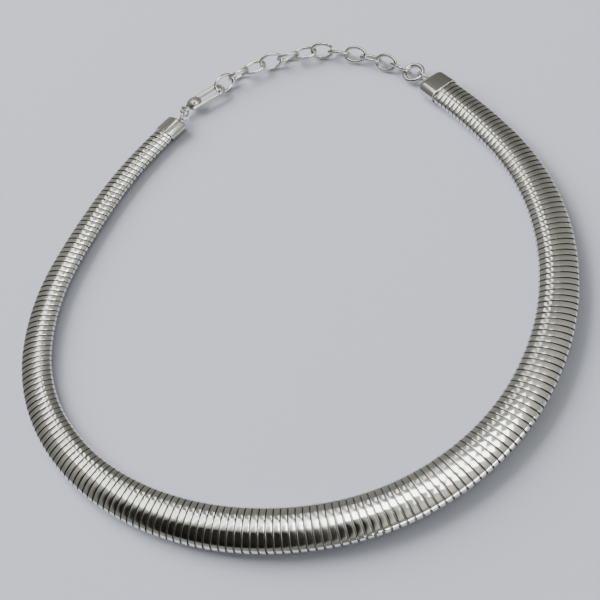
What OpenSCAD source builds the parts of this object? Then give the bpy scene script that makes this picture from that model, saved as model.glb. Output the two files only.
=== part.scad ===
// Choker: a flattened tube wound from polished metal strip, graduated from narrow ends to a wide
// front, with a cap on each end. A lobster clasp and an extender chain close it at the back.
// It lies on its broad face, front toward -Y, with the clasp at the back. Millimetres, +Z up.

/* [Wound band] */
// Width of the band beside the left cap
left_end_w = 8; // [5:0.1:14]
// Width halfway along the left side
left_side_w = 8.9; // [5:0.1:14]
// Width at the middle of the front
front_w = 11.2; // [5:0.1:18]
// Width halfway along the right side
right_side_w = 10.3; // [5:0.1:14]
// Width of the band beside the right cap
right_end_w = 9.8; // [5:0.1:14]
// Height of the oval section as a share of its width
flatness = 0.46; // [0.3:0.01:1]
// Length of the centre line that one turn takes up
turn_pitch = 1.8; // [1:0.05:3]
// Turns in each stretch
stretch_turns = 16; // [4:1:24]
// Width of the wide bright strip in a turn
strip_w = 1.4; // [0.8:0.05:1.6]
// Thickness of the wide strip
strip_t = 0.65; // [0.5:0.05:1]
// How far the tube between the bright turns is set in
set_in = 0.35; // [0.2:0.05:0.5]
// Wall of that tube
tube_t = 0.6; // [0.4:0.05:0.8]

/* [Route of the band] */
// Middle of the left cap's seam, across the object
seam_x = -44.7; // [-60:0.05:0]
// Middle of the left cap's seam, front to back
seam_y = 55.1; // [20:0.05:80]
// Direction in which the band leaves the left cap, in degrees from +X
seam_dir = -128.04; // [-180:0.01:-90]

/* [Caps] */
// How far a cap stands proud of the band at each side
cap_proud = 0.3; // [0.1:0.05:1]
// Length of the left cap
left_cap_l = 6.7; // [4:0.1:10]
// Length of the right cap
right_cap_l = 7.3; // [4:0.1:10]
// Corner radius of the left cap in plan
left_cap_r = 0.7; // [0.3:0.1:3]
// Corner radius of the right cap in plan
right_cap_r = 1.8; // [0.3:0.1:3]
// Wall across the closed end of a cap
cap_end_t = 0.8; // [0.5:0.1:2]
// How round the left cap's edges are, as a share of its height
left_cap_roundness = 0.7; // [0.6:0.05:0.95]
// How round the right cap's edges are, as a share of its height
right_cap_roundness = 0.95; // [0.6:0.05:0.95]
// Thickness of the wire in the left cap's soldered eye
left_eye_wire = 0.7; // [0.5:0.05:0.8]
// Thickness of the wire in the right cap's long eye
right_eye_wire = 0.8; // [0.5:0.05:0.9]
// Length of the straight part of the right cap's eye
right_eye_l = 3.9; // [3.8:0.05:4.2]
// Radius of the right cap's eye to the middle of its wire
right_eye_r = 1.35; // [1.3:0.05:1.6]

/* [Clasp] */
// Tail of the clasp, across the object
clasp_x = -39.3; // [-50:0.05:0]
// Tail of the clasp, front to back
clasp_y = 65.3; // [40:0.05:90]
// Direction of the clasp, in degrees from +X
clasp_dir = 35; // [0:1:90]
// Height of the clasp's middle plane
clasp_z = 2.25; // [1.5:0.05:3]
// Radius of the domed lobe that holds the lever's pin
lobe_r = 2.7; // [2.4:0.05:2.8]
// Thickness of that lobe
lobe_t = 3.3; // [2.6:0.1:3.6]
// Radius of the claw's round bar
claw_r = 0.8; // [0.6:0.05:1.5]
// Radius of the lever's round bar
lever_r = 0.62; // [0.4:0.02:1]
// Radius of the pin
pin_r = 0.4; // [0.2:0.05:0.6]
// Radial play of the lever on the pin
pin_play = 0.05; // [0.02:0.01:0.1]

/* [Extender chain] */
// Length of a link over all
link_l = 8.2; // [5:0.1:12]
// Width of a link over all
link_w = 5.7; // [3:0.1:8]
// Thickness of the links' wire
link_wire = 1.05; // [0.6:0.05:1.5]
// Radius of a link's rounder ends, to the middle of the wire
link_end_r = 2; // [1:0.05:2.2]
// Gap between one link and the next
link_gap = 0.15; // [0.05:0.05:0.4]
// Diameter of the end ring over all
end_ring_d = 7.5; // [5:0.1:10]
// Thickness of the end ring's wire
end_ring_wire = 1.5; // [0.8:0.05:1.6]
// Radius of a jump ring to the middle of its wire
jump_ring_r = 1.53; // [1.5:0.01:1.6]
// Thickness of a jump ring's wire
jump_ring_wire = 0.7; // [0.5:0.05:0.75]

/* [Hidden] */
$fn = 64;

// Bend radius of each stretch, from the left cap round the front to the right cap
bends = [120, 210, 73, 56, 71, 81, 82, 66, 67, 78, 90, 88, 165];
stretches = len(bends);
stretch_l = stretch_turns * turn_pitch;
band_gap = 0.12;
slip = 0.1;          // play between a cap and the tube inside it
tube_in_cap = 1.2;   // how far the tube reaches into a cap

// Each link's direction, its roll about its own length and the height of its middle, from the
// clasp to the end ring
// [direction, roll, height]
links = [
    [45, 57, 2.5],
    [28, -58, 2.55],
    [19, 4, 2.6],
    [14, 63, 2.65],
    [11, -58, 2.55],
    [2, 4, 2.6],
    [-10, 66, 2.7],
    [-20, -40, 2.3],
    [-26, 35, 2.25],
    [-32, -30, 2.1],
    [-37, 40, 2.2],
    [-41, -50, 2.35]
];
end_ring_dir = -35;
end_ring_roll = 14;
end_ring_z = 2.25;
end_ring_side = 0.1;   // how far the end ring hangs to the back of the last link

band_colour = [0.80, 0.80, 0.78];
cap_colour = [0.72, 0.72, 0.69];
chain_colour = [0.78, 0.78, 0.74];

first_link = 20;     // place of link_01 in NODES

// Directions and places along the object

function along(dir, length) = [length * cos(dir), length * sin(dir)];

// The place [x, y, direction] after following an arc that turns left
function follow(p, radius, length) =
    let (dir = p[2] + length / radius * 180 / PI)
    [
        p[0] + radius * (sin(dir) - sin(p[2])),
        p[1] - radius * (cos(dir) - cos(p[2])),
        dir
    ];

// Where each stretch starts, with the band's far end last
starts = [
    for (i = 0, p = [seam_x, seam_y, seam_dir];
         i <= stretches;
         p = i < stretches ? follow(p, bends[i], stretch_l) : p, i = i + 1)
    p
];

// The band's width and height at a share of its length, eased between the five widths
quarter_ws = [left_end_w, left_side_w, front_w, right_side_w, right_end_w];
function ease(a, b, t) = a + (b - a) * (1 - cos(180 * t)) / 2;
function band_w(share) =
    let (k = min(floor(share * 4), 3))
    ease(quarter_ws[k], quarter_ws[k + 1], share * 4 - k);
function band_h(share) = flatness * band_w(share);

// Links: the middle of each, found by following the chain from the clasp's hook
link_half = (link_l - link_wire) / 2;
link_reach = link_half - (link_wire + link_gap) / 2;
wire_in_hook = [13.6, 0.3];     // in the clasp's own frame
chain_start = [clasp_x, clasp_y]
    + along(clasp_dir, wire_in_hook[0]) + along(clasp_dir + 90, wire_in_hook[1]);
link_mids = [
    for (i = 0, p = chain_start + along(links[0][0], link_half);
         i < len(links);
         p = i < len(links) - 1
             ? p + along(links[i][0], link_reach) + along(links[i + 1][0], link_reach)
             : p,
         i = i + 1)
    p
];
end_ring_r = (end_ring_d - end_ring_wire) / 2;
last_link = len(links) - 1;
end_ring_mid = link_mids[last_link] + along(links[last_link][0], link_half)
    + along(end_ring_dir, end_ring_r - (link_wire + end_ring_wire) / 2 - link_gap / 2)
    + along(end_ring_dir + 90, end_ring_side);

// Shapes shared by several pieces

// A flat oval with domed faces and round edges, lying along X
module oval(w, h, roundness = 0.62) {
    edge_r = roundness * h / 2;
    edge_x = w / 2 - edge_r;
    dome_r = (edge_x * edge_x / (h / 2 - edge_r) + h / 2 + edge_r) / 2;
    meet_x = edge_x * dome_r / (dome_r - edge_r);
    intersection() {
        translate([0, h / 2 - dome_r])
            circle(dome_r, $fn = 200);
        translate([0, dome_r - h / 2])
            circle(dome_r, $fn = 200);
        square([2 * meet_x, h], center = true);
    }
    for (side = [-1, 1])
        translate([side * edge_x, 0])
            circle(edge_r + 0.02);
}

// An oval of one size with another oval cut out of it
module hollow_oval(w, h, wall) {
    difference() {
        oval(w, h);
        oval(w - 2 * wall, h - 2 * wall);
    }
}

// Half of a round wire ring, from -Y through +X to +Y
module half_ring(radius, wire) {
    rotate([0, 0, -90])
        rotate_extrude(angle = 180)
            translate([radius, 0])
                circle(wire / 2, $fn = 32);
}

module whole_ring(radius, wire) {
    rotate_extrude()
        translate([radius, 0])
            circle(wire / 2, $fn = 32);
}

// Puts a piece at a place in plan and at a height, turned to a direction and rolled about it
module set_at(place, z, dir, roll = 0) {
    translate([place[0], place[1], z])
        rotate([0, 0, dir])
            rotate([roll, 0, 0])
                children();
}

// Wound band: sixteen bright turns standing proud of the tube between them

module bent_tube(radius, w, h, from_l, to_l) {
    translate([0, radius, h / 2])
        rotate([0, 0, from_l / radius * 180 / PI - 90])
            rotate_extrude(angle = (to_l - from_l) / radius * 180 / PI, $fn = 400)
                translate([radius, 0])
                    hollow_oval(w - 2 * set_in, h - 2 * set_in, tube_t);
}

module bright_turn(w, h) {
    translate([0, 0, h / 2])
        rotate([90, 0, 0])
            linear_extrude(strip_w, center = true)
                hollow_oval(w, h, strip_t);
}

module wound_band(i) {
    radius = bends[i];
    share = (i + 0.5) / stretches;
    color(band_colour)
        translate([starts[i][0], starts[i][1], 0])
            rotate([0, 0, starts[i][2]]) {
                bent_tube(
                    radius, band_w(share), band_h(share),
                    i == 0 ? -tube_in_cap : band_gap / 2,
                    stretch_l + (i == stretches - 1 ? tube_in_cap : -band_gap / 2)
                );
                for (k = [0 : stretch_turns - 1]) {
                    here = (k + 0.5) / stretch_turns;
                    turn_share = (i + here) / stretches;
                    translate([0, radius, 0])
                        rotate([0, 0, here * stretch_l / radius * 180 / PI - 90])
                            translate([radius, 0, 0])
                                bright_turn(band_w(turn_share), band_h(turn_share));
                }
            }
}

// Caps: hollow cups with a closed, rounded chain end and a soldered eye

module cap_plan(l, w, r) {
    translate([-1, -w / 2])
        square([1 + l - r, w]);
    translate([-1, r - w / 2])
        square([1 + l, w - 2 * r]);
    for (side = [-1, 1])
        translate([l - r, side * (w / 2 - r)])
            circle(r);
}

// The cap's mouth is at the origin and the cap lies along +X
module cap_cup(share, tube_share, end_w, l, r, roundness) {
    w = end_w + 2 * cap_proud;
    h = band_h(share) + cap_proud;
    tube_h = band_h(tube_share);
    difference() {
        intersection() {
            translate([0, 0, h / 2])
                rotate([90, 0, 90])
                    linear_extrude(l)
                        oval(w, h, roundness);
            translate([0, 0, -1])
                linear_extrude(h + 2)
                    cap_plan(l, w, r);
        }
        translate([-1, 0, tube_h / 2])
            rotate([90, 0, 90])
                linear_extrude(1 + l - cap_end_t)
                    oval(
                        band_w(tube_share) - 2 * set_in + 2 * slip,
                        tube_h - 2 * set_in + 2 * slip
                    );
    }
}

module left_cap() {
    color(cap_colour)
        set_at(starts[0], 0, seam_dir + 180) {
            cap_cup(
                0, 0.5 / stretches, left_end_w, left_cap_l, left_cap_r, left_cap_roundness
            );
            translate([left_cap_l + 0.9, 0, 2])
                whole_ring(1, left_eye_wire);
        }
}

// The right cap's eye is a long loop that stands upright
module right_cap() {
    eye_z = 2.2;
    color(cap_colour)
        set_at(starts[stretches], 0, starts[stretches][2]) {
            cap_cup(
                1, 1 - 0.5 / stretches, right_end_w, right_cap_l, right_cap_r,
                right_cap_roundness
            );
            for (side = [-1, 1])
                translate([right_cap_l - 0.5, 0, eye_z + side * right_eye_r])
                    rotate([0, 90, 0])
                        cylinder(h = right_eye_l + 0.5, d = right_eye_wire, $fn = 32);
            translate([right_cap_l + right_eye_l, 0, eye_z])
                rotate([90, 0, 0])
                    half_ring(right_eye_r, right_eye_wire);
        }
}

// Jump rings between the left cap's eye and the clasp's tail

eye_place = [seam_x, seam_y] + along(seam_dir + 180, left_cap_l + 0.9);
tail_loop = [1.4, 0.3];          // middle of the tail loop in the clasp's own frame
tail_place = [clasp_x, clasp_y]
    + along(clasp_dir, tail_loop[0]) + along(clasp_dir + 90, tail_loop[1]);
ring_dir = atan2(tail_place[1] - eye_place[1], tail_place[0] - eye_place[0]);

ring_lean = 3;          // how far each ring's middle is turned off that line
cap_ring_in = 0.14;     // how far each ring's wire is inside the middle of the eye it hangs in
clasp_ring_in = 0.12;

module cap_ring() {
    color(chain_colour)
        set_at(eye_place + along(ring_dir - ring_lean, jump_ring_r + cap_ring_in), 2.1, ring_dir, -62)
            whole_ring(jump_ring_r, jump_ring_wire);
}

module clasp_ring() {
    color(chain_colour)
        set_at(tail_place - along(ring_dir + ring_lean, jump_ring_r + clasp_ring_in), 2.15, ring_dir, 65)
            whole_ring(jump_ring_r, jump_ring_wire);
}

// Lobster clasp, in its own frame: the tail at the origin, the hook toward +X, the lever on the
// -Y side and turning on a pin that runs along Z

lobe_mid = [4.6, 0.3];
hook_mid = [13.2, -0.25];
hook_r = 2.3;
pin_mid = [4.2, -1.05];
lever_y = -2;
lever_l = 9.85;

module domed_button(radius, t) {
    rotate_extrude()
        intersection() {
            oval(2 * radius, t);
            translate([0, -t])
                square([radius + 1, 2 * t]);
        }
}

module clasp_body() {
    color(chain_colour)
        set_at([clasp_x, clasp_y], clasp_z, clasp_dir) {
            difference() {
                translate([lobe_mid[0], lobe_mid[1], 0])
                    domed_button(lobe_r, lobe_t);
                translate([2.3, -4, -0.75])
                    cube([6, 4.05, 1.5]);
                translate([pin_mid[0], pin_mid[1], -3])
                    cylinder(h = 6, r = pin_r + 0.01);
            }
            translate([tail_loop[0], tail_loop[1], 0])
                whole_ring(1.05, 0.84);
            translate([4.6, hook_mid[1] + hook_r, 0])
                rotate([0, 90, 0])
                    cylinder(h = hook_mid[0] - 4.6, r = claw_r);
            translate([hook_mid[0], hook_mid[1], 0])
                mirror([1, -1, 0])
                    rotate_extrude(angle = 180)
                        translate([hook_r, 0])
                            circle(claw_r);
        }
}

module clasp_lever() {
    color(cap_colour)
        set_at([clasp_x, clasp_y], clasp_z, clasp_dir)
            difference() {
                union() {
                    translate([3, lever_y, 0])
                        rotate([0, 90, 0])
                            cylinder(h = lever_l, r = lever_r);
                    translate([pin_mid[0], pin_mid[1], -0.5])
                        cylinder(h = 1, r = 0.95);
                }
                translate([pin_mid[0], pin_mid[1], -2])
                    cylinder(h = 4, r = pin_r + pin_play);
            }
}

module clasp_pin() {
    color(chain_colour)
        set_at([clasp_x, clasp_y], clasp_z, clasp_dir)
            translate([pin_mid[0], pin_mid[1], -1.05])
                cylinder(h = 2.1, r = pin_r);
}

// Extender chain

// An oval link: two end arcs and two flatter side arcs that meet them smoothly
link_side_half = (link_w - link_wire) / 2;
link_end_x = link_half - link_end_r;
link_side_r = (link_end_x ^ 2 + link_side_half ^ 2 - link_end_r ^ 2) / (2 * (link_side_half - link_end_r));
link_end_angle = atan2(link_side_r - link_side_half, link_end_x);

module wire_arc(mid, radius, from, to) {
    translate([mid[0], mid[1], 0])
        rotate([0, 0, from])
            rotate_extrude(angle = to - from)
                translate([radius, 0])
                    circle(link_wire / 2, $fn = 32);
}

module link(i) {
    color(chain_colour)
        set_at(link_mids[i], links[i][2], links[i][0], links[i][1])
            for (half = [0, 180])
                rotate([0, 0, half]) {
                    wire_arc([link_end_x, 0], link_end_r, -link_end_angle, link_end_angle);
                    wire_arc(
                        [0, link_side_half - link_side_r], link_side_r,
                        link_end_angle, 180 - link_end_angle
                    );
                }
}

module end_ring() {
    color(chain_colour)
        set_at(end_ring_mid, end_ring_z, end_ring_dir, end_ring_roll)
            whole_ring(end_ring_r, end_ring_wire);
}

for (i = [0 : stretches - 1])
    wound_band(i);
left_cap();
right_cap();
cap_ring();
clasp_ring();
clasp_body();
clasp_lever();
clasp_pin();
for (i = [0 : len(links) - 1])
    link(i);
end_ring();
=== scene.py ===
# %% [markdown]
# # A choker of wound strip
#
# The real object is a flattened tube, wound from polished metal strip, that gets wider toward the
# front. Each end has a plain cap, and a lobster clasp with a chain of oval links closes the back.
# This file gives the measured model its finished surfaces: wound strip, caps, clasp and links.

# %% Load the measured model
import math
import bmesh
import bpy
from mathutils import Matrix, Vector


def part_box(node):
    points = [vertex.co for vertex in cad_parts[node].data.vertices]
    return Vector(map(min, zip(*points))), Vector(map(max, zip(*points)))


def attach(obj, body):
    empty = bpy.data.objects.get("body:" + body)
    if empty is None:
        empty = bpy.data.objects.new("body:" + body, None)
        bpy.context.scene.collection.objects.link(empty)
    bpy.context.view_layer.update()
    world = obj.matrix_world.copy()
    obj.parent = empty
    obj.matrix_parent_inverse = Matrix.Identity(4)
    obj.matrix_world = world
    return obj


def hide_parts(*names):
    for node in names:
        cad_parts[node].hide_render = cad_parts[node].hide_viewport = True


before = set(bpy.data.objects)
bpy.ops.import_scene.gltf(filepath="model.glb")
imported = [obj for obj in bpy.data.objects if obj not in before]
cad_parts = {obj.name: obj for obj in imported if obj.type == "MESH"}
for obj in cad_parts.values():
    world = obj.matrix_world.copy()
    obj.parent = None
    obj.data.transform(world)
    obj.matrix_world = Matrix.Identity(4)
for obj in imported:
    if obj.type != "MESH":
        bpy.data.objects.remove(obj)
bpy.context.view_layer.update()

MM = 0.001

# %% [markdown]
# ## Camera
#
# The photograph looks down on the choker from the front, with the camera rolled to one side. A
# camera is turned by building its three axes: where it looks, what is right and what is up. Typing
# three angles would work too, but the axes say plainly what the tilt and the roll do.

# %% Camera at the photograph's angle
LOOK_DOWN = math.radians(52.21)
LOOK_TURN = math.radians(17.49)
CAMERA_ROLL = math.radians(-19.49)
CAMERA_PLACE = Vector((48.25, -160.31, 195.2)) * MM
SENSOR, LENS = 36, 54    # millimetres, as on a real camera
NEAREST = 0.01    # metres; anything closer to the camera isn't drawn

turn = Matrix.Rotation(LOOK_TURN, 3, "Z")
look = turn @ Vector((0, math.cos(LOOK_DOWN), -math.sin(LOOK_DOWN)))
level = turn @ Vector((1, 0, 0))
rise = level.cross(look)
right = level * math.cos(CAMERA_ROLL) + rise * math.sin(CAMERA_ROLL)
up = rise * math.cos(CAMERA_ROLL) - level * math.sin(CAMERA_ROLL)

camera = bpy.data.objects.new("camera", bpy.data.cameras.new("camera"))
bpy.context.scene.collection.objects.link(camera)
camera.data.sensor_width = SENSOR
camera.data.lens = LENS
camera.data.clip_start = NEAREST
camera.matrix_world = (
    Matrix.Translation(CAMERA_PLACE) @ Matrix((right, up, -look)).transposed().to_4x4()
)
bpy.context.scene.camera = camera
print("camera height, mm:", round(CAMERA_PLACE.z / MM))

# %% [markdown]
# ## Floor
#
# The choker lies flat on a plain pale floor. One large square is enough for that, and a rough
# surface keeps it from mirroring the lamps. It belongs to the picture and not to the choker.

# %% A pale floor
FLOOR_REACH = 3    # metres from the middle to an edge
FLOOR_COLOUR = (0.60, 0.632, 0.735, 1)
FLOOR_ROUGHNESS = 0.9

bm = bmesh.new()
bmesh.ops.create_grid(bm, x_segments=1, y_segments=1, size=FLOOR_REACH)
floor_mesh = bpy.data.meshes.new("floor")
bm.to_mesh(floor_mesh)
bm.free()
floor = bpy.data.objects.new("floor", floor_mesh)
bpy.context.scene.collection.objects.link(floor)

floor_material = bpy.data.materials.new("pale_floor")
floor_material.use_nodes = True
floor_shader = floor_material.node_tree.nodes["Principled BSDF"]
floor_shader.inputs["Base Color"].default_value = FLOOR_COLOUR
floor_shader.inputs["Roughness"].default_value = FLOOR_ROUGHNESS
floor_mesh.materials.append(floor_material)
print("floor, metres across:", 2 * FLOOR_REACH)

# %% [markdown]
# ## The room
#
# Polished metal shows its surroundings, so the room matters more than the strength of the lamps. A
# bright ceiling, dim walls and a dark patch high over the front left give the domed strip its grey,
# white and nearly black bands. A panorama could be wrapped round the scene for this, but a few
# nodes do it with numbers that are easy to change: one ramp for height, one for left and right, and
# the dark patch, all multiplied.

# %% How bright the room is in each direction
# How high a direction points, from level (0) to straight up (1), and its brightness
SKY = [
    (0.00, 0.22), (0.34, 0.22), (0.50, 0.19), (0.63, 0.22), (0.71, 0.27),
    (0.78, 0.35), (0.84, 0.45), (0.89, 0.80), (0.95, 1.00), (1.00, 0.90),
]
# How far a direction points to the left (0) or to the right (1), and what it is multiplied by
SIDES = [
    (0.00, 0.9), (0.10, 1.1), (0.20, 1.45), (0.30, 1.3), (0.45, 1.0),
    (0.60, 0.8), (0.68, 1.0), (0.75, 1.3), (0.88, 1.9), (1.00, 2.0),
]
SIDES_TOP = 2    # a ramp holds no more than 1, so the sides are kept in it as shares of this
# The middle of the dark patch, how near it (1 is right on it) the dark starts and is full, and
# what is left of the light there
DARK_SIDE = (-0.3455, -0.2699, 0.8988)
DARK_STARTS, DARK_FULL, DARK_LEFT = 0.857, 0.934, 0.02
ROOM_COLOUR = (1, 0.985, 0.91, 1)
print("ramp stops:", len(SKY), "for height,", len(SIDES), "for the sides")

# %% Helpers for the room's nodes
world = bpy.data.worlds.new("studio")
world.use_nodes = True
bpy.context.scene.world = world
air = world.node_tree


def ramp(stops, top):
    """A colour ramp node with (place, brightness) stops, as shares of the top brightness."""
    node = air.nodes.new("ShaderNodeValToRGB")
    for number, (spot, level) in enumerate(stops):
        if number < 2:
            stop = node.color_ramp.elements[number]
            stop.position = spot
        else:
            stop = node.color_ramp.elements.new(spot)
        stop.color = (level / top, level / top, level / top, 1)
    return node


def map_range(start, end, first, last):
    """A node that turns start into first and end into last, and keeps to that range."""
    node = air.nodes.new("ShaderNodeMapRange")
    sockets = ("From Min", "From Max", "To Min", "To Max")
    for socket, value in zip(sockets, (start, end, first, last)):
        node.inputs[socket].default_value = value
    return node


def times(first, second):
    """The product of two node outputs."""
    node = air.nodes.new("ShaderNodeMath")
    node.operation = "MULTIPLY"
    for socket, value in zip(node.inputs, (first, second)):
        air.links.new(value, socket)
    return node.outputs["Value"]


print("room:", world.name)

# %% Background nodes
background = air.nodes["Background"]
facing = air.nodes.new("ShaderNodeTexCoord")
split = air.nodes.new("ShaderNodeSeparateXYZ")
toward = air.nodes.new("ShaderNodeVectorMath")
toward.operation = "DOT_PRODUCT"
toward.inputs[1].default_value = DARK_SIDE
sky, sides = ramp(SKY, 1), ramp(SIDES, SIDES_TOP)
left_to_right = map_range(-1, 1, 0, 1)
full_sides = map_range(0, 1, 0, SIDES_TOP)
dark = map_range(DARK_STARTS, DARK_FULL, 1, DARK_LEFT)
for output, socket in (
    (facing.outputs["Generated"], split.inputs["Vector"]),
    (facing.outputs["Generated"], toward.inputs[0]),
    (split.outputs["Z"], sky.inputs["Fac"]),
    (split.outputs["X"], left_to_right.inputs["Value"]),
    (left_to_right.outputs["Result"], sides.inputs["Fac"]),
    (sides.outputs["Color"], full_sides.inputs["Value"]),
    (toward.outputs["Value"], dark.inputs["Value"]),
):
    air.links.new(output, socket)
brightness = times(sky.outputs["Color"], full_sides.outputs["Result"])
air.links.new(times(brightness, dark.outputs["Result"]), background.inputs["Strength"])
background.inputs["Color"].default_value = ROOM_COLOUR
print("room nodes:", len(air.nodes))

# %% [markdown]
# ## Lamps
#
# Rectangular lamps stand for a window, its panes and the brightest parts of the ceiling. A lamp can
# be hidden from one kind of ray. Three of these show only as reflections in the metal, and the
# daylight, which is large and far away at the back left, falls only on the floor and gives the
# choker a soft shadow there. So the reflections and the shadow can be set one by one.

# %% Soft lamps
def softbox(name, turned, raised, size, brightness, distance=1.2, lights="all"):
    """A rectangular lamp facing the choker; turned is its angle from the back toward the right.

    raised is its angle above the floor. It lights "all", or only the "metal" or the "floor".
    """
    lamp = bpy.data.lights.new(name, "AREA")
    lamp.shape = "RECTANGLE"
    lamp.size, lamp.size_y = size
    lamp.energy = brightness * math.pi * size[0] * size[1]
    around, above = math.radians(turned), math.radians(raised)
    spot = Vector((
        math.sin(around) * math.cos(above), math.cos(around) * math.cos(above), math.sin(above)
    )) * distance
    holder = bpy.data.objects.new(name, lamp)
    bpy.context.scene.collection.objects.link(holder)
    holder.location = spot
    holder.rotation_euler = (-spot).to_track_quat("-Z", "Y").to_euler()
    holder.visible_diffuse = lights != "metal"
    holder.visible_glossy = lights != "floor"
    print(name, "watts:", round(lamp.energy, 1))


softbox("window_left", -42, 59, (0.53, 0.34), 2.1)
softbox("pane_left", -27, 44, (0.18, 0.56), 1.7, 2.4)
softbox("pane_right", -13, 45, (0.18, 0.52), 2.2, 2.4)
softbox("ceiling_left", -6, 74, (0.40, 0.40), 7, lights="metal")
softbox("ceiling_right", 78, 72, (0.34, 0.34), 6, lights="metal")
softbox("front_fill", 135, 22, (1.2, 0.40), 5.6, lights="metal")
softbox("daylight", -54, 27, (4.6, 3.3), 14, 5, lights="floor")

# %% [markdown]
# ## The line that the strip is wound along
#
# The tube follows a chain of arcs, each bending left, from the left cap round the front to the
# right cap. The same short list of bend radii was used for the measured model, so the strip wound
# here lands on it. Its width is eased between five measured widths.

# %% Route of the band
BENDS = [120, 210, 73, 56, 71, 81, 82, 66, 67, 78, 90, 88, 165]    # radii of the arcs, mm
TURNS = 16    # turns of the strip on each arc
PITCH = 1.8    # from one turn to the next, mm
STRETCH = TURNS * PITCH
SEAM = (-44.7, 55.1, math.radians(-128.04))    # the left end: x, y and the direction it leaves in
WIDTHS = [8.0, 8.9, 11.2, 10.3, 9.8]    # at the ends and the quarters of the length, mm
FLATNESS = 0.46    # the band's height as a share of its width


def follow(start, bend, length):
    """The place and direction after an arc that turns left."""
    x, y, heading = start
    end = heading + length / bend
    return (
        x + bend * (math.sin(end) - math.sin(heading)),
        y - bend * (math.cos(end) - math.cos(heading)),
        end,
    )


starts = [SEAM]
for bend in BENDS:
    starts.append(follow(starts[-1], bend, STRETCH))


def band_width(share):
    """The band's width at a share of its length from the left end, mm."""
    parts = len(WIDTHS) - 1
    share = min(max(share, 0), 1)
    part = min(int(share * parts), parts - 1)
    eased = (1 - math.cos(math.pi * (share * parts - part))) / 2
    return WIDTHS[part] + (WIDTHS[part + 1] - WIDTHS[part]) * eased


print("band length, mm:", STRETCH * len(BENDS), "turns:", TURNS * len(BENDS))

# %% [markdown]
# ## The oval section
#
# Cut across, the tube is a flat oval: two wide, gently domed faces joined by small round edges.
# Four arcs make that shape. A function that gives a point and its outward direction anywhere round
# the oval is enough to wrap strip around it, and to shape the caps.

# %% Points round the oval
BAND_ROUNDNESS = 0.62    # radius of the small edges as a share of half the height


def oval(width, height, share, roundness=BAND_ROUNDNESS):
    """A point (out, up) and its normal, share 0 at the inner edge, then over the top."""
    edge = roundness * height / 2
    reach = width / 2 - edge
    dome = (reach**2 / (height / 2 - edge) + height / 2 + edge) / 2
    lean = math.asin(reach / (dome - edge))
    edge_length = (math.pi / 2 - lean) * edge
    quarter = edge_length + lean * dome
    share %= 1
    near = min(share % 0.5, 0.5 - share % 0.5)
    along = 4 * near * quarter
    if along < edge_length:
        angle = along / edge
        out = reach + edge * math.cos(angle)
        rise = edge * math.sin(angle)
        normal = (math.cos(angle), math.sin(angle))
    else:
        angle = (quarter - along) / dome
        out = dome * math.sin(angle)
        rise = height / 2 - dome + dome * math.cos(angle)
        normal = (math.sin(angle), math.cos(angle))
    side = -1 if share < 0.25 or share > 0.75 else 1
    face = 1 if share < 0.5 else -1
    return (side * out, face * rise), (side * normal[0], face * normal[1])


front = max(WIDTHS)
print("front section, mm:", [oval(front, FLATNESS * front, share)[0] for share in (0, 0.25)])

# %% [markdown]
# ## Metal finishes
#
# Plated metal is never a perfect mirror: handling leaves smudges, and cleaning leaves hairlines.
# Painted textures could show this, but noise in the nodes needs no image and has no seams. One node
# group makes the smudges and hairlines for every metal here, and each material adds its own colour.
# The wound strips also get painted shade, with some tarnish, that darkens each turn toward its
# edges, and the narrow strip's dark colour is painted shade in the gaps between the turns.

# %% Node group for handled metal
def handled_metal_group():
    """Outputs a smudge mask, a roughness and a normal that vary over the surface."""
    group = bpy.data.node_groups.new("handled_metal", "ShaderNodeTree")
    for name, kind, default in (
        ("Smudge Scale", "NodeSocketFloat", 90),
        ("Polish", "NodeSocketFloat", 0.08),
        ("Smudge Roughness", "NodeSocketFloat", 0.12),
        ("Hairline Strength", "NodeSocketFloat", 0.05),
    ):
        socket = group.interface.new_socket(name, in_out="INPUT", socket_type=kind)
        socket.default_value = default
    for name, kind in (
        ("Smudge", "NodeSocketFloat"),
        ("Roughness", "NodeSocketFloat"),
        ("Normal", "NodeSocketVector"),
    ):
        group.interface.new_socket(name, in_out="OUTPUT", socket_type=kind)
    node = group.nodes.new
    wire = group.links.new
    given, result = node("NodeGroupInput"), node("NodeGroupOutput")
    spot = node("ShaderNodeTexCoord")
    # Smudges: soft noise, of which only the high parts count
    smudges = node("ShaderNodeTexNoise")
    smudges.inputs["Detail"].default_value = 4
    smudge_edge = node("ShaderNodeMapRange")
    smudge_edge.inputs["From Min"].default_value = 0.45
    smudge_edge.inputs["From Max"].default_value = 0.7
    wire(spot.outputs["Object"], smudges.inputs["Vector"])
    wire(given.outputs["Smudge Scale"], smudges.inputs["Scale"])
    wire(smudges.outputs["Fac"], smudge_edge.inputs["Value"])
    rough = node("ShaderNodeMath")
    rough.operation = "MULTIPLY_ADD"
    wire(smudge_edge.outputs["Result"], rough.inputs[0])
    wire(given.outputs["Smudge Roughness"], rough.inputs[1])
    wire(given.outputs["Polish"], rough.inputs[2])
    # Hairlines: fine noise drawn out in one slanting direction, as a very low bump
    stretch = node("ShaderNodeMapping")
    stretch.inputs["Rotation"].default_value = (0.3, 0.2, 0.7)
    stretch.inputs["Scale"].default_value = (600, 9000, 9000)
    hairs = node("ShaderNodeTexNoise")
    hairs.inputs["Scale"].default_value = 1
    bump = node("ShaderNodeBump")
    bump.inputs["Distance"].default_value = 0.00002
    wire(spot.outputs["Object"], stretch.inputs["Vector"])
    wire(stretch.outputs["Vector"], hairs.inputs["Vector"])
    wire(hairs.outputs["Fac"], bump.inputs["Height"])
    wire(given.outputs["Hairline Strength"], bump.inputs["Strength"])
    wire(smudge_edge.outputs["Result"], result.inputs["Smudge"])
    wire(rough.outputs["Value"], result.inputs["Roughness"])
    wire(bump.outputs["Normal"], result.inputs["Normal"])
    return group


handled_metal = handled_metal_group()
print("group sockets:", [s.name for s in handled_metal.interface.items_tree])

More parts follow.
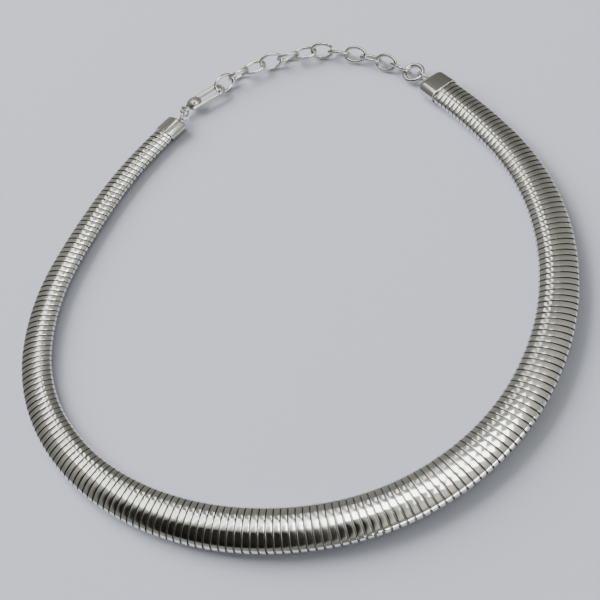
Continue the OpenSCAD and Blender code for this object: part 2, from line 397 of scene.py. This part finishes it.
# %% Materials from the group
def metal(name, colour, smudged, polish, smear=0.12, groove_shade_and_tarnish=None):
    """A plated metal. polish is its roughness where it is clean, and smear what a smudge adds.

    groove_shade_and_tarnish = (colour, from, to) darkens a wound strip toward its edges:
    painted shade where the turns meet, with some tarnish.
    """
    material = bpy.data.materials.new(name)
    material.use_nodes = True
    tree = material.node_tree
    shader = tree.nodes["Principled BSDF"]
    shader.inputs["Metallic"].default_value = 1
    handled = tree.nodes.new("ShaderNodeGroup")
    handled.node_tree = handled_metal
    handled.inputs["Polish"].default_value = polish
    handled.inputs["Smudge Roughness"].default_value = smear
    tree.links.new(handled.outputs["Roughness"], shader.inputs["Roughness"])
    tree.links.new(handled.outputs["Normal"], shader.inputs["Normal"])
    tint = tree.nodes.new("ShaderNodeMix")
    tint.data_type = "RGBA"
    tint.inputs["A"].default_value = (*colour, 1)
    tint.inputs["B"].default_value = (*smudged, 1)
    tree.links.new(handled.outputs["Smudge"], tint.inputs["Factor"])
    last = tint
    if groove_shade_and_tarnish:
        dark, start, end = groove_shade_and_tarnish
        map_place = tree.nodes.new("ShaderNodeUVMap")
        map_place.uv_map = "strip"
        across = tree.nodes.new("ShaderNodeSeparateXYZ")
        middle = tree.nodes.new("ShaderNodeMath")
        middle.operation = "SUBTRACT"
        middle.inputs[1].default_value = 0.5
        off = tree.nodes.new("ShaderNodeMath")
        off.operation = "ABSOLUTE"
        edge = tree.nodes.new("ShaderNodeMapRange")
        edge.inputs["From Min"].default_value = start
        edge.inputs["From Max"].default_value = end
        last = tree.nodes.new("ShaderNodeMix")
        last.data_type = "RGBA"
        last.inputs["B"].default_value = (*dark, 1)
        tree.links.new(map_place.outputs["UV"], across.inputs["Vector"])
        tree.links.new(across.outputs["Y"], middle.inputs[0])
        tree.links.new(middle.outputs["Value"], off.inputs[0])
        tree.links.new(off.outputs["Value"], edge.inputs["Value"])
        tree.links.new(edge.outputs["Result"], last.inputs["Factor"])
        tree.links.new(tint.outputs["Result"], last.inputs["A"])
    tree.links.new(last.outputs["Result"], shader.inputs["Base Color"])
    return material


# Painted shade, with some tarnish: this dark colour darkens each turn of the wound strips toward
# its edges, where the turns meet
GROOVE_SHADE_AND_TARNISH = (0.10, 0.085, 0.06)
wide_finish = metal(
    "wide_strip", (0.83, 0.83, 0.79), (0.74, 0.74, 0.69), 0.08, groove_shade_and_tarnish=(GROOVE_SHADE_AND_TARNISH, 0.42, 0.50)
)
# The narrow strip's dark base colour is painted shade for the gaps between the turns
narrow_shaded_metal = metal(
    "narrow_strip", (0.30, 0.295, 0.27), (0.22, 0.21, 0.19), 0.30, groove_shade_and_tarnish=(GROOVE_SHADE_AND_TARNISH, 0.10, 0.22)
)
cap_finish = metal("cap_metal", (0.72, 0.72, 0.68), (0.64, 0.64, 0.59), 0.08, smear=0.04)
chain_finish = metal("chain_metal", (0.64, 0.64, 0.58), (0.52, 0.52, 0.46), 0.12)
cast_finish = metal("cast_metal", (0.60, 0.60, 0.54), (0.50, 0.50, 0.44), 0.30)
print("materials:", [m.name for m in bpy.data.materials])

# %% [markdown]
# ## The wound strip
#
# The real tube has two strips wound together: a wide bright one, and a narrow one that locks under
# its edges and shows as a fine line. A strip is easiest to make flat. A long grid is made with one
# operator, and each of its points is then carried to its place: so many turns round the oval, and
# so far along the band. A solidify modifier gives the strip its thickness.

# %% Wrap a flat strip round the band
AROUND = 48    # points round one turn
CROWDING = 0.55
TUCK, TUCK_LENGTH = 0.4, 0.45    # how far the strip dips before a cap, and over what length, mm
END_TURNS = 0.9    # turns that run on inside each cap
# A grid of 10 rows, from -1 to 1, has its last line of points before the edge at 0.8. The wide
# strip is creased there, so that its flat part and its turned-down lip both shade well
FOLD = 0.8
NEARLY = 0.01


def crowded(turns):
    """Moves the places of the points toward the oval's small round edges, where it bends most."""
    return turns - CROWDING * math.sin(4 * math.pi * turns) / (4 * math.pi)


def wound_place(stretch, turns, across, depth):
    """A point of the strip: turns along its thread, across its width and below the oval, mm."""
    bend = BENDS[stretch]
    x, y, heading = starts[stretch]
    whole = (stretch * TURNS + turns) / (TURNS * len(BENDS))
    width = band_width(whole)
    length_left = min(whole, 1 - whole) * STRETCH * len(BENDS)
    depth += TUCK * min(max((TUCK_LENGTH - length_left) / TUCK_LENGTH, 0), 1)
    (out, rise), normal = oval(width, FLATNESS * width, turns)
    out -= depth * normal[0]
    rise += FLATNESS * width / 2 - depth * normal[1]
    angle = heading + turns * PITCH / bend + across / (bend + out)
    return Vector((
        x - bend * math.sin(heading) + (bend + out) * math.sin(angle),
        y + bend * math.cos(heading) - (bend + out) * math.cos(angle),
        rise,
    )) * MM


def wound_strip(name, stretch, width, rows, shape, offset):
    """A strip wound round one stretch. shape(across share) is how deep the strip lies."""
    first = -END_TURNS if stretch == 0 else 0
    last = TURNS + (END_TURNS if stretch == len(BENDS) - 1 else 0)
    steps = round((last - first) * AROUND)
    bm = bmesh.new()
    flat_map = bm.loops.layers.uv.new("strip")
    bmesh.ops.create_grid(bm, x_segments=steps, y_segments=rows, size=1)
    for edge in bm.edges:
        edge.smooth = any(abs(abs(vert.co.y) - FOLD) > NEARLY for vert in edge.verts)
    for face in bm.faces:
        face.smooth = True
        for loop in face.loops:
            u, v = (loop.vert.co.x + 1) / 2, (loop.vert.co.y + 1) / 2
            loop[flat_map].uv = (first + u * (last - first), v)
    for vert in bm.verts:
        turns = crowded(first + (vert.co.x + 1) / 2 * (last - first))
        share = math.sin(math.pi / 2 * vert.co.y)
        vert.co = wound_place(stretch, turns, share * width / 2 + offset, shape(share))
    mesh = bpy.data.meshes.new(name)
    bm.to_mesh(mesh)
    bm.free()
    return mesh


print("points round one turn:", AROUND)

# %% Shape of the strips across their width
# The wide strip's depth in its middle, its slight crown, and the lip at its edges, mm
WIDE_DEPTH, CROWN, LIP = 0.02, 0.012, 0.24
LIP_SHARPNESS = 80
# The narrow strip's depth at its edges, and the height and width share of the ridge along it
NARROW_DEPTH, RIDGE, RIDGE_SHARE = 0.44, 0.16, 0.3


def wide_shape(share):
    """A nearly flat strip whose two edges turn down sharply."""
    return WIDE_DEPTH + CROWN * share**2 + LIP * abs(share) ** LIP_SHARPNESS


def narrow_shape(share):
    """A set-in strip with a low ridge along its middle."""
    return NARROW_DEPTH - RIDGE * math.exp(-((share / RIDGE_SHARE) ** 2))


print("a wide strip's depth, middle and edge, mm:", wide_shape(0), round(wide_shape(1), 2))

# %% Wind all thirteen stretches
WIDE, NARROW = 1.42, 0.84    # widths of the two strips, mm
WIDE_ROWS, NARROW_ROWS = 10, 6
WALL = 0.12    # thickness of the strips, mm


def piece(name, mesh, finish, nodes=(), body="choker"):
    """Puts a mesh in the scene as a piece that rides on a body and stands for its nodes."""
    obj = bpy.data.objects.new(name, mesh)
    bpy.context.scene.collection.objects.link(obj)
    if not mesh.materials:
        mesh.materials.append(finish)
    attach(obj, body)
    if nodes:
        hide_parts(*nodes)
    return obj


for number in range(len(BENDS)):
    tag = f"{number + 1:02d}"
    wide = piece(
        f"wide_strip_{tag}",
        wound_strip(f"wide_strip_{tag}", number, WIDE, WIDE_ROWS, wide_shape, 0),
        wide_finish, [f"wound_band_{tag}"],
    )
    narrow = piece(
        f"narrow_strip_{tag}",
        wound_strip(
            f"narrow_strip_{tag}", number, NARROW, NARROW_ROWS, narrow_shape, PITCH / 2
        ),
        narrow_shaded_metal,
    )
    for strip in (wide, narrow):
        wall = strip.modifiers.new("wall", "SOLIDIFY")
        wall.thickness = WALL * MM
        wall.offset = -1
print("wound strips:", 2 * len(BENDS))

# %% [markdown]
# ## End caps
#
# Each cap is a short cup pressed over the tube's end, with rounded shoulders and a soldered eye. A
# bevelled block would have the wrong corners, because the oval changes shape as it narrows. So a
# circle of points, each remembering its share of the way round the oval, is extruded ring by ring
# from inside the mouth to the closed end, and each new ring is placed on its own oval.

# %% Cap shells
CAP_WIDER, CAP_HIGHER = 0.6, 0.3    # than the band's end, mm
CAP_INSIDE_LESS = 0.5    # how much narrower and lower than the tube a cap's inside is, mm
CAP_END_WALL = 0.8
MOUTH_EDGE = 0.08    # the small rounding of the mouth's rim, mm
CORNER_STEPS = 8
CORNER_DROP = 0.55    # a corner takes this share of what it takes off the width off the height
CAP_POINTS = 96


def at_seam(index, turned):
    """The matrix that stands a cap, built along +X, on the band's end."""
    x, y, heading = starts[index]
    return Matrix.Translation(Vector((x, y, 0)) * MM) @ Matrix.Rotation(heading + turned, 4, "Z")


def cap_bm(end_width, length, corner, tube_width, roundness):
    """A cup with its mouth at the origin, made of rings (x, width, height, middle height)."""
    width = end_width + CAP_WIDER
    height = FLATNESS * end_width + CAP_HIGHER
    tube_height = FLATNESS * tube_width
    inner = (tube_width - CAP_INSIDE_LESS, tube_height - CAP_INSIDE_LESS, tube_height / 2)
    rim = (width - 2 * MOUTH_EDGE, height - 2 * MOUTH_EDGE, height / 2)
    outer = (width, height, height / 2)
    rings = [(length - CAP_END_WALL, *inner), (0.0, *inner)]
    rings += [(0.0, *rim), (MOUTH_EDGE, *outer), (2 * MOUTH_EDGE, *outer)]
    for step in range(CORNER_STEPS + 1):
        angle = step / CORNER_STEPS * math.pi / 2
        cut = 2 * corner * (1 - math.cos(angle))
        rings.append((
            length - corner + corner * math.sin(angle),
            width - cut, height - CORNER_DROP * cut, height / 2,
        ))
    bm = bmesh.new()
    share = bm.verts.layers.float.new("share")
    circle = bmesh.ops.create_circle(bm, segments=CAP_POINTS, radius=1)["verts"]
    for number, vert in enumerate(circle):
        vert[share] = number / CAP_POINTS
    edges = list(bm.edges)
    for number, (x, w, h, middle) in enumerate(rings):
        if number:
            grown = bmesh.ops.extrude_edge_only(bm, edges=edges)["geom"]
            edges = [g for g in grown if isinstance(g, bmesh.types.BMEdge)]
        for vert in {v for edge in edges for v in edge.verts}:
            (out, rise), _ = oval(w, h, vert[share], BAND_ROUNDNESS if number < 2 else roundness)
            vert.co = Vector((x, -out, middle + rise)) * MM
        if number == 0:
            bmesh.ops.holes_fill(bm, edges=edges)
    bmesh.ops.holes_fill(bm, edges=edges)
    return bm


HALF_STRETCH = 0.5 / len(BENDS)    # the tube that a cap grips is as wide as here
left_bm = cap_bm(
    WIDTHS[0], length=6.7, corner=0.7, tube_width=band_width(HALF_STRETCH), roundness=0.7
)
right_bm = cap_bm(
    WIDTHS[-1], length=7.3, corner=1.8, tube_width=band_width(1 - HALF_STRETCH), roundness=0.95
)
print("cap faces:", len(left_bm.faces), len(right_bm.faces))

# %% [markdown]
# ## Shapes of round wire
#
# Rings, hoops and links are all bent from round wire, so they share a few helpers. A wire's section
# is a small circle, and spin carries it round the middle of each bend, as a bending pin does. A
# curve with a bevel would give the same shape, but spin leaves an exact, even mesh at once.

# %% Sections, rings and bends
WIRE_POINTS = 20    # points round a wire
RING_STEPS, BEND_STEPS, HOOP_STEPS = 48, 12, 20


def section_at(bm, spot, turned, thickness):
    """A wire's round section at a place in the XY plane, facing along +Y when turned is 0."""
    circle = bmesh.ops.create_circle(
        bm, segments=WIRE_POINTS, radius=thickness / 2 * MM,
        matrix=Matrix.Translation(Vector((*spot, 0)) * MM)
        @ Matrix.Rotation(turned, 4, "Z") @ Matrix.Rotation(math.pi / 2, 4, "X"),
    )["verts"]
    return circle + list({e for v in circle for e in v.link_edges})


def wire_ring(bm, radius, thickness, spot=(0, 0, 0)):
    """A round wire ring in the XY plane: a wire's section spun right round."""
    middle = Vector(spot) * MM
    start = Matrix.Translation(middle) @ Matrix.Translation((radius * MM, 0, 0))
    section = bmesh.ops.create_circle(
        bm, segments=WIRE_POINTS, radius=thickness / 2 * MM,
        matrix=start @ Matrix.Rotation(math.pi / 2, 4, "X"),
    )["verts"]
    edges = list({e for v in section for e in v.link_edges})
    bmesh.ops.spin(
        bm, geom=section + edges, cent=middle, axis=(0, 0, 1),
        angle=2 * math.pi, steps=RING_STEPS, use_merge=True,
    )


def spin_on(bm, geom, middle, angle, steps):
    """Carries a section on round a point in the XY plane, and returns the new section."""
    return bmesh.ops.spin(
        bm, geom=geom, cent=Vector((*middle, 0)) * MM, axis=(0, 0, 1), angle=angle, steps=steps
    )["geom_last"]


print("points round a wire:", WIRE_POINTS)

# %% Links and hoops
def oval_link(bm, length, width, thickness, end_radius):
    """A link of round wire: two rounder end arcs joined smoothly by two flatter side arcs."""
    side = (width - thickness) / 2
    end = (length - thickness) / 2 - end_radius
    side_radius = (end**2 + side**2 - end_radius**2) / (2 * (side - end_radius))
    lean = math.atan2(side_radius - side, end)
    start = (end + end_radius * math.cos(lean), -end_radius * math.sin(lean))
    geom = section_at(bm, start, -lean, thickness)
    for middle, angle in (
        ((end, 0), 2 * lean), ((0, side - side_radius), math.pi - 2 * lean),
        ((-end, 0), 2 * lean), ((0, side_radius - side), math.pi - 2 * lean),
    ):
        geom = spin_on(bm, geom, middle, angle, BEND_STEPS)


def wire_hoop(bm, leg, bend, thickness):
    """A hoop with two straight legs from x = 0, and a half turn at their ends."""
    geom = section_at(bm, (0, -bend), math.pi / 2, thickness)
    for shift in (leg, -leg):
        edges = [g for g in geom if isinstance(g, bmesh.types.BMEdge)]
        grown = bmesh.ops.extrude_edge_only(bm, edges=edges)["geom"]
        geom = [g for g in grown if not isinstance(g, bmesh.types.BMFace)]
        verts = [g for g in geom if isinstance(g, bmesh.types.BMVert)]
        bmesh.ops.translate(bm, verts=verts, vec=(shift * MM, 0, 0))
        if shift > 0:
            geom = spin_on(bm, geom, (leg, 0), math.pi, HOOP_STEPS)
    bmesh.ops.holes_fill(bm, edges=bm.edges)


WELD = 0.002    # points closer than this become one, mm


def finish_mesh(name, bm, matrix):
    """Welds a built shape, turns its faces outward, moves it to its place and makes its mesh."""
    bmesh.ops.remove_doubles(bm, verts=bm.verts, dist=WELD * MM)
    bmesh.ops.recalc_face_normals(bm, faces=bm.faces)
    bmesh.ops.transform(bm, matrix=matrix, verts=bm.verts)
    for face in bm.faces:
        face.smooth = len(face.verts) == 4
    mesh = bpy.data.meshes.new(name)
    bm.to_mesh(mesh)
    bm.free()
    return mesh


print("a bend is spun in steps:", BEND_STEPS)

# %% Eyes, and the caps in their places
LEFT_EYE_RADIUS, LEFT_EYE_WIRE, LEFT_EYE_PLACE = 1.0, 0.7, (7.6, 0, 2)
RIGHT_EYE_LEG, RIGHT_EYE_BEND, RIGHT_EYE_WIRE = 4.4, 1.35, 0.8
RIGHT_EYE_ROOT = (6.8, 0, 2.2)    # inside the cap's end wall, so that the hoop grows out of it

wire_ring(left_bm, LEFT_EYE_RADIUS, LEFT_EYE_WIRE, LEFT_EYE_PLACE)
eye_bm = bmesh.new()
wire_hoop(eye_bm, RIGHT_EYE_LEG, RIGHT_EYE_BEND, RIGHT_EYE_WIRE)
stand_up = Matrix.Translation(Vector(RIGHT_EYE_ROOT) * MM) @ Matrix.Rotation(math.pi / 2, 4, "X")
bmesh.ops.transform(eye_bm, matrix=stand_up, verts=eye_bm.verts)
eye_mesh = bpy.data.meshes.new("eye")
eye_bm.to_mesh(eye_mesh)
right_bm.from_mesh(eye_mesh)
for side, bm, place in (
    ("left", left_bm, at_seam(0, math.pi)),
    ("right", right_bm, at_seam(-1, 0)),
):
    mesh = finish_mesh(f"{side}_cap_shell", bm, place)
    piece(f"{side}_cap_shell", mesh, cap_finish, [f"{side}_cap"])
print("caps stand on the band's ends")

# %% [markdown]
# ## Links and rings
#
# The chain's links are bent from round wire into ovals of four arcs. Each link lies at its own
# angle, so copies along a line wouldn't do. Each one is rolled and turned as the measured model has
# it, and set at the middle of its measured box.

# %% Chain
LINK_LENGTH, LINK_WIDTH, LINK_WIRE, LINK_END_RADIUS = 8.2, 5.7, 1.05, 2
# Each link's direction and its roll about its own length, from the clasp to the end ring
LINKS = [
    (45, 57), (28, -58), (19, 4), (14, 63), (11, -58), (2, 4),
    (-10, 66), (-20, -40), (-26, 35), (-32, -30), (-37, 40), (-41, -50),
]


def middle_of(node):
    """The middle of a measured node's box."""
    low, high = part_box(node)
    return (low + high) / 2


def set_at(node, direction, roll):
    """The matrix that puts a shape in the middle of a measured node, turned and rolled."""
    return (
        Matrix.Translation(middle_of(node))
        @ Matrix.Rotation(math.radians(direction), 4, "Z")
        @ Matrix.Rotation(math.radians(roll), 4, "X")
    )


for number, (direction, roll) in enumerate(LINKS):
    node = f"link_{number + 1:02d}"
    bm = bmesh.new()
    oval_link(bm, LINK_LENGTH, LINK_WIDTH, LINK_WIRE, LINK_END_RADIUS)
    mesh = finish_mesh(f"oval_{node}", bm, set_at(node, direction, roll))
    piece(f"oval_{node}", mesh, chain_finish, [node])
print("links:", len(LINKS))

# %% Rings
JUMP_RADIUS, JUMP_WIRE = 1.53, 0.7
between = middle_of("clasp_ring") - middle_of("cap_ring")
from_cap = math.degrees(math.atan2(between.y, between.x))
# Each ring's node, radius, wire, direction and roll
RINGS = [
    ("end_ring", 3.0, 1.5, -35, 14),
    ("cap_ring", JUMP_RADIUS, JUMP_WIRE, from_cap, -62),
    ("clasp_ring", JUMP_RADIUS, JUMP_WIRE, from_cap, 65),
]
for node, radius, thickness, direction, roll in RINGS:
    bm = bmesh.new()
    wire_ring(bm, radius, thickness)
    mesh = finish_mesh(f"round_{node}", bm, set_at(node, direction, roll))
    piece(f"round_{node}", mesh, chain_finish, [node])
print("rings:", len(RINGS))

# %% [markdown]
# ## Lobster clasp
#
# The clasp is cast in one: a domed lobe, a bar that hooks round, and a tail loop. It could be
# joined with booleans, but those leave hard corners. Simple solids that pass through each other are
# joined by a fine voxel remesh and a little smoothing instead, which leaves the soft fillets of a
# casting. The slot for the lever is cut afterwards, so that its walls stay crisp.

# %% Where the clasp lies
# The clasp is built along +X from its tail loop, and then stood in its place
CLASP_TAIL, CLASP_TURNED = (-39.3, 65.3, 2.25), 35
CLASP = Matrix.Translation(Vector(CLASP_TAIL) * MM) @ Matrix.Rotation(
    math.radians(CLASP_TURNED), 4, "Z"
)
HOOK = Vector((13.2, -0.25, 0)) * MM    # the middle of the hook's bend
HOOK_R = 2.3 * MM
PIN = Vector((4.2, -1.05, 0)) * MM
PIN_RADIUS, PIN_LENGTH = 0.4, 2.1
print("the pin stands at, mm:", [round(v / MM, 2) for v in CLASP @ PIN])

# %% Casting helpers
SOFTENING = 5    # rounds of smoothing
CRUMB = 0.003    # edges that a cut leaves shorter than this are welded away, mm


def baked(obj):
    """The object's mesh with its modifiers in it; the object itself is removed."""
    view = bpy.context.evaluated_depsgraph_get()
    mesh = bpy.data.meshes.new_from_object(obj.evaluated_get(view))
    bpy.data.objects.remove(obj)
    return mesh


def weld_crumbs(mesh):
    """Clears the slivers that a cut leaves, so that the mesh is one closed surface."""
    clean = bmesh.new()
    clean.from_mesh(mesh)
    bmesh.ops.triangulate(clean, faces=clean.faces)
    bmesh.ops.dissolve_degenerate(clean, dist=CRUMB * MM, edges=clean.edges)
    bmesh.ops.remove_doubles(clean, verts=clean.verts, dist=CRUMB * MM)
    between = [vert for vert in clean.verts if len(vert.link_edges) < 3]
    bmesh.ops.dissolve_verts(clean, verts=between)
    print(mesh.name, "open edges:", sum(not edge.is_manifold for edge in clean.edges))
    clean.to_mesh(mesh)
    clean.free()


def cast(name, bm, voxel, cuts):
    """Blends a bmesh's solids as a casting, and cuts other bmeshes out of the result."""
    bmesh.ops.recalc_face_normals(bm, faces=bm.faces)
    mesh = bpy.data.meshes.new(name)
    bm.to_mesh(mesh)
    obj = bpy.data.objects.new(name, mesh)
    bpy.context.scene.collection.objects.link(obj)
    blend = obj.modifiers.new("blend", "REMESH")
    blend.mode = "VOXEL"
    blend.voxel_size = voxel * MM
    soften = obj.modifiers.new("soften", "SMOOTH")
    soften.iterations = SOFTENING
    cutters = []
    for number, cut in enumerate(cuts):
        cut_mesh = bpy.data.meshes.new(f"{name}_cut_{number}")
        cut.to_mesh(cut_mesh)
        cutters.append(bpy.data.objects.new(cut_mesh.name, cut_mesh))
        bpy.context.scene.collection.objects.link(cutters[-1])
        carve = obj.modifiers.new("cut", "BOOLEAN")
        carve.operation = "DIFFERENCE"
        carve.solver = "EXACT"
        carve.object = cutters[-1]
    result = baked(obj)
    for cutter in cutters:
        bpy.data.objects.remove(cutter)
    weld_crumbs(result)
    return result


def place_casting(name, mesh, node, body="choker"):
    """Stands a casting in the clasp's place, as a piece of its own."""
    mesh.transform(CLASP)
    mesh.shade_smooth()
    mesh.materials.clear()
    piece(name, mesh, cast_finish, [node], body)
    print(name, "faces:", len(mesh.polygons))


print("rounds of smoothing:", SOFTENING)

# %% Lobe and tail loop
LOBE = Vector((4.6, 0.3, 0)) * MM
LOBE_WIDTH, LOBE_HEIGHT = 5.36, 3.26
TAIL_RADIUS, TAIL_WIRE, TAIL_PLACE = 1.05, 0.84, (1.4, 0.3, 0)

claw_bm = bmesh.new()
lobe = bmesh.ops.create_uvsphere(claw_bm, u_segments=48, v_segments=24, radius=1)["verts"]
for vert in lobe:
    lean = math.asin(max(-1, min(1, vert.co.z))) / (2 * math.pi)
    flat = max(math.hypot(vert.co.x, vert.co.y), 1e-9)
    (out, rise), _ = oval(LOBE_WIDTH, LOBE_HEIGHT, 0.5 - lean)
    vert.co = LOBE + Vector((vert.co.x / flat * out, vert.co.y / flat * out, rise)) * MM
wire_ring(claw_bm, TAIL_RADIUS, TAIL_WIRE, TAIL_PLACE)
print("points of the lobe:", len(lobe))

# %% Bar and hook
BAR_START, BAR_RADIUS, BAR_SIDES = 4.6, 0.8, 24
HOOK_STEPS = 24
HOOK_TAPER = 0.988    # each step's section is this much smaller than the one before

bmesh.ops.create_circle(
    claw_bm, cap_ends=True, segments=BAR_SIDES, radius=BAR_RADIUS * MM,
    matrix=Matrix.Translation((BAR_START * MM, HOOK.y + HOOK_R, 0))
    @ Matrix.Rotation(math.pi / 2, 4, "Y"),
)


def extruded(faces):
    """Extrudes a region, and returns the new region's points and faces."""
    grown = bmesh.ops.extrude_face_region(claw_bm, geom=faces)["geom"]
    verts = [g for g in grown if isinstance(g, bmesh.types.BMVert)]
    return verts, [g for g in grown if isinstance(g, bmesh.types.BMFace)]


tip, tip_faces = extruded([face for face in claw_bm.faces if len(face.verts) == BAR_SIDES])
bmesh.ops.translate(claw_bm, verts=tip, vec=(HOOK.x - BAR_START * MM, 0, 0))
for step in range(HOOK_STEPS):
    inside = tip_faces
    tip, tip_faces = extruded(inside)
    bmesh.ops.delete(claw_bm, geom=inside, context="FACES_ONLY")
    bmesh.ops.rotate(
        claw_bm, verts=tip, cent=HOOK,
        matrix=Matrix.Rotation(math.radians(-180 / HOOK_STEPS), 3, "Z"),
    )
    middle = sum((v.co for v in tip), Vector()) / len(tip)
    bmesh.ops.scale(
        claw_bm, verts=tip, vec=(HOOK_TAPER, HOOK_TAPER, HOOK_TAPER),
        space=Matrix.Translation(-middle),
    )
print("the hook's tip is thinner by:", round(1 - HOOK_TAPER**HOOK_STEPS, 2))

# %% The claw, with its slot and its bore
SLOT_MIDDLE, SLOT_SIZE = (5.3, -1.975, 0), (6, 4.05, 1.5)
CLAW_BORE, LEVER_BORE = 0.41, 0.45    # radii of the holes for the pin
CLAW_VOXEL = 0.09


def pin_bore(radius):
    """The cutter for a hole that the pin goes through."""
    bore = bmesh.new()
    bmesh.ops.create_cone(
        bore, cap_ends=True, segments=32, radius1=radius * MM, radius2=radius * MM, depth=5 * MM,
        matrix=Matrix.Translation(PIN),
    )
    return bore


slot_bm = bmesh.new()
bmesh.ops.create_cube(
    slot_bm, size=MM,
    matrix=Matrix.Translation(Vector(SLOT_MIDDLE) * MM) @ Matrix.Diagonal((*SLOT_SIZE, 1)),
)
claw_mesh = cast("claw", claw_bm, CLAW_VOXEL, [slot_bm, pin_bore(CLAW_BORE)])
place_casting("clasp_claw", claw_mesh, "clasp_body")

# %% [markdown]
# ## Lever and pin
#
# The lever is a straight rod with a round hub, which turns on a pin across the slot. It is cast the
# same way, and it rides on a body of its own, so that it swings when the model is posed. The pin is
# a plain rod with its two rims broken by a small bevel, as a cut rivet has.

# %% Clasp lever
LEVER_MIDDLE, LEVER_LENGTH, LEVER_RADIUS = (7.925, -2, 0), 9.8, 0.61
HUB_RADIUS, HUB_THICKNESS = 0.93, 1.0
LEVER_VOXEL = 0.08

lever_bm = bmesh.new()
bmesh.ops.create_cone(
    lever_bm, cap_ends=True, segments=32, radius1=LEVER_RADIUS * MM, radius2=LEVER_RADIUS * MM,
    depth=LEVER_LENGTH * MM,
    matrix=Matrix.Translation(Vector(LEVER_MIDDLE) * MM) @ Matrix.Rotation(math.pi / 2, 4, "Y"),
)
bmesh.ops.create_cone(
    lever_bm, cap_ends=True, segments=40, radius1=HUB_RADIUS * MM, radius2=HUB_RADIUS * MM,
    depth=HUB_THICKNESS * MM, matrix=Matrix.Translation(PIN),
)
lever_mesh = cast("lever", lever_bm, LEVER_VOXEL, [pin_bore(LEVER_BORE)])
place_casting("clasp_trigger", lever_mesh, "clasp_lever", "lever")

# %% Clasp pin
PIN_SIDES = 32
PIN_BEVEL = 0.08

pin_bm = bmesh.new()
bmesh.ops.create_cone(
    pin_bm, cap_ends=True, segments=PIN_SIDES, radius1=PIN_RADIUS * MM, radius2=PIN_RADIUS * MM,
    depth=PIN_LENGTH * MM, matrix=Matrix.Translation(PIN),
)
rims = [
    edge for edge in pin_bm.edges
    if any(len(face.verts) == PIN_SIDES for face in edge.link_faces)
]
bmesh.ops.bevel(
    pin_bm, geom=rims, offset=PIN_BEVEL * MM, offset_type="OFFSET", segments=3, profile=0.5,
    affect="EDGES", material=-1,
)
pin_mesh = finish_mesh("clasp_rivet", pin_bm, CLASP)
piece("clasp_rivet", pin_mesh, chain_finish, ["clasp_pin"])
print("edges round the pin's rims:", len(rims))
